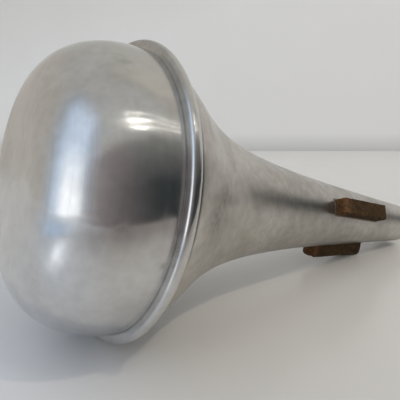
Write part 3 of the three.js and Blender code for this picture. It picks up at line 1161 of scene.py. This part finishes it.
class MUTE_OT_flare(Operator):
    """Spins the flare, with its neck and its curled hem"""

    bl_idname = "mute.flare"
    bl_label = "Spin the flare"

    def execute(self, context):
        shell = context.scene.mute_shell
        finish = context.scene.mute_finish
        outside, outline = flare_outline(shell)
        bm = spun_shell(shell, outline, True, (), FLARE_SMUDGES)
        seam = Vector((shell.skirt_reach, flare_radius(shell, shell.skirt_reach)))
        darker_neck = Vector((finish.darker_neck_station, flare_radius(shell, finish.darker_neck_station)))
        # Painted shade along the seam; the neck is darkened round its middle
        dark = (
            ("seam", seam, finish.seam_shade_reach, finish.seam_shade_height),
            ("darker_neck", darker_neck, finish.darker_neck_reach, -shell.neck_reach),
        )
        inside_from = outline_share(outside, outline)
        metal = spun_metal("satin_spun_aluminium", shell, finish, "flare", dark, inside_from)
        finish_piece("spun_flare", bm, metal, "flare_body")
        return {"FINISHED"}


class MUTE_OT_cap(Operator):
    """Spins the end cap, with the bead that is rolled round the flare's hem"""

    bl_idname = "mute.cap"
    bl_label = "Spin the end cap"

    def execute(self, context):
        shell = context.scene.mute_shell
        finish = context.scene.mute_finish
        outside, outline = cap_outline(shell)
        bm = spun_shell(shell, outline, False, CAP_DENTS, CAP_SMUDGES)
        nose = Vector((-shell.bead_front, shell.rim_radius - shell.nose_drop))
        # Painted shade: the crease, the bead's front from a height up, and the skirt's edge
        dark = (
            ("crease", crease(shell), finish.crease_shade_reach, -shell.neck_reach),
            ("bead", nose, finish.bead_front_shade_reach, finish.bead_front_shade_height),
            ("skirt", skirt_end(shell), finish.skirt_shade_reach, -shell.neck_reach),
        )
        inside_from = outline_share(outside, outline)
        metal = spun_metal("polished_spun_aluminium", shell, finish, "cap", dark, inside_from)
        finish_piece("spun_cap", bm, metal, "end_cap")
        return {"FINISHED"}


def outline_share(seen, outline):
    """How much of an outline's length its seen part takes."""
    def reach(points):
        return sum((after - before).length for before, after in zip(points, points[1:]))

    return reach(seen) / reach(outline)


def strips(cork):
    """Each strip's name, its start, and its turn from straight up towards the front."""
    return (
        ("bottom", cork.bottom_station, math.pi),
        ("front", cork.side_station, cork.side_angle),
        ("rear", cork.side_station, -cork.side_angle),
    )


class MUTE_OT_corks(Operator):
    """Cuts the three cork strips"""

    bl_idname = "mute.corks"
    bl_label = "Cut the cork strips"

    def execute(self, context):
        shell = context.scene.mute_shell
        cork = context.scene.mute_cork
        material = cork_material(cork)
        for side, start, turn in strips(cork):
            bm = cork_mesh(shell, cork, start, turn, STRIP_WEAR_SHARES[side])
            bmesh.ops.transform(bm, matrix=laid(shell), verts=bm.verts)
            finish_piece(f"cork_strip_{side}", bm, material, f"cork_{side}")
        return {"FINISHED"}


class MUTE_OT_glue(Operator):
    """Lays the dried glue under the cork strips"""

    bl_idname = "mute.glue"
    bl_label = "Lay the glue"

    def execute(self, context):
        shell = context.scene.mute_shell
        cork = context.scene.mute_cork
        material = glue_material(cork)
        for side, start, turn in strips(cork):
            bm = glue_mesh(shell, cork, start, turn)
            bmesh.ops.transform(bm, matrix=laid(shell), verts=bm.verts)
            finish_piece(f"glue_{side}", bm, material)
        return {"FINISHED"}


class MUTE_OT_stage(Operator):
    """Sets the camera, the floor, the wall and the light"""

    bl_idname = "mute.stage"
    bl_label = "Set the stage"

    def execute(self, context):
        stage = context.scene.mute_stage
        shell = context.scene.mute_shell
        floor_level = min(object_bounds()[0].z, 0)
        context.scene.view_settings.view_transform = "Standard"
        build_camera(stage)
        build_world(stage)
        build_room(stage, floor_level)
        build_lamps(stage, Vector(shell.rim_middle))
        build_key(stage, Vector(shell.rim_middle))
        build_panels(stage, Vector(shell.rim_middle), floor_level)
        return {"FINISHED"}


class MUTE_PT_panel(Panel):
    """Lists the steps that make the mute"""

    bl_idname = "MUTE_PT_panel"
    bl_label = "Straight mute"
    bl_space_type = "VIEW_3D"
    bl_region_type = "UI"
    bl_category = "Mute"

    def draw(self, context):
        for step in STEPS:
            self.layout.operator(step.bl_idname)
        for group in GROUPS:
            values = getattr(context.scene, group)
            box = self.layout.box()
            for name in values.__annotations__:
                box.prop(values, name)


STEPS = (MUTE_OT_flare, MUTE_OT_cap, MUTE_OT_corks, MUTE_OT_glue, MUTE_OT_stage)
GROUPS = {"mute_shell": MuteShell, "mute_cork": MuteCork, "mute_finish": MuteFinish, "mute_stage": MuteStage}


def register():
    for group in GROUPS.values():
        bpy.utils.register_class(group)
    for name, group in GROUPS.items():
        setattr(bpy.types.Scene, name, PointerProperty(type=group))
    for made in (*STEPS, MUTE_PT_panel):
        bpy.utils.register_class(made)


def unregister():
    for made in (MUTE_PT_panel, *reversed(STEPS)):
        bpy.utils.unregister_class(made)
    for name in GROUPS:
        delattr(bpy.types.Scene, name)
    for group in reversed(GROUPS.values()):
        bpy.utils.unregister_class(group)


def main():
    register()
    bpy.ops.mute.flare()
    bpy.ops.mute.cap()
    bpy.ops.mute.corks()
    bpy.ops.mute.glue()
    bpy.ops.mute.stage()


if __name__ == "__main__":
    main()
